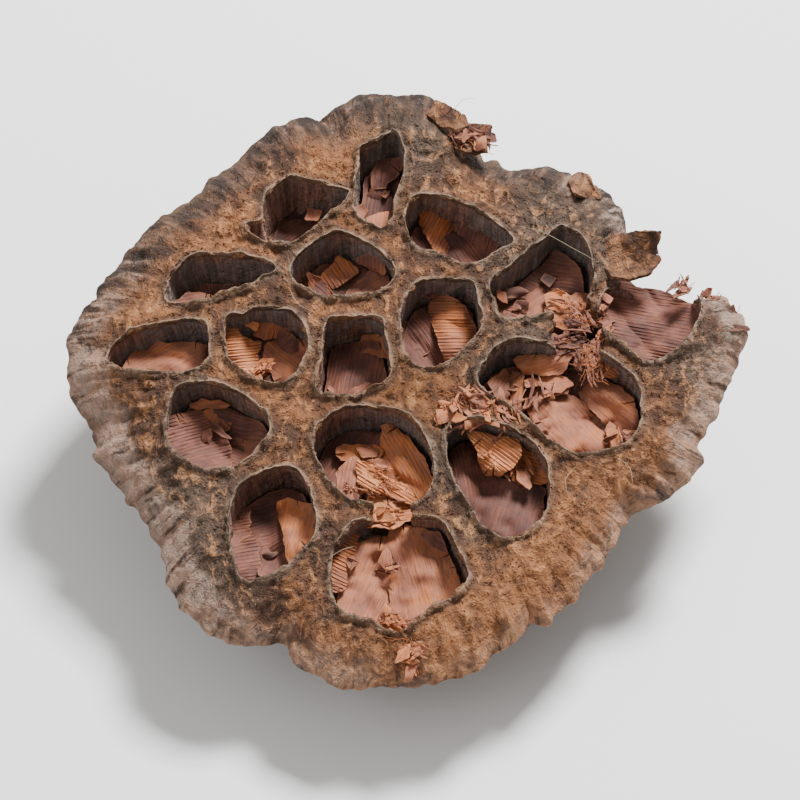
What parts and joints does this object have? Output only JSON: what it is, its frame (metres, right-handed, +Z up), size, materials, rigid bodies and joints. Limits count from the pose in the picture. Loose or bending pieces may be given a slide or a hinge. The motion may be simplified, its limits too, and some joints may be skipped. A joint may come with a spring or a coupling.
{
  "type": "dried lotus pod",
  "caption": "Dried lotus seed pod lying face up: a shallow woody funnel with a lobed, torn rim, and open seed pits lined with crumpled papery skin.",
  "frame": {"origin": "centre of the flat scar that the pod rests on, where its stem broke off", "axes": "+Z up out of the scar; the face of the pits looks up and 11 degrees towards -Y; +X to the right as seen from the front"},
  "size_m": [0.1181, 0.1156, 0.0419],
  "materials": {
    "pod_tissue": "dry, corky and fibrous",
    "papery_skin": "dry, papery and faintly ribbed"
  },
  "bodies": {
    "root": {"pod": "pod_tissue", "skin_01": "papery_skin", "skin_02": "papery_skin", "skin_03": "papery_skin", "skin_04": "papery_skin", "skin_05": "papery_skin", "skin_06": "papery_skin", "skin_07": "papery_skin", "skin_08": "papery_skin", "skin_09": "papery_skin", "skin_10": "papery_skin", "skin_11": "papery_skin", "skin_12": "papery_skin", "skin_13": "papery_skin", "skin_14": "papery_skin", "skin_15": "papery_skin", "skin_16": "papery_skin", "skin_17": "papery_skin"}
  },
  "joints": []
}
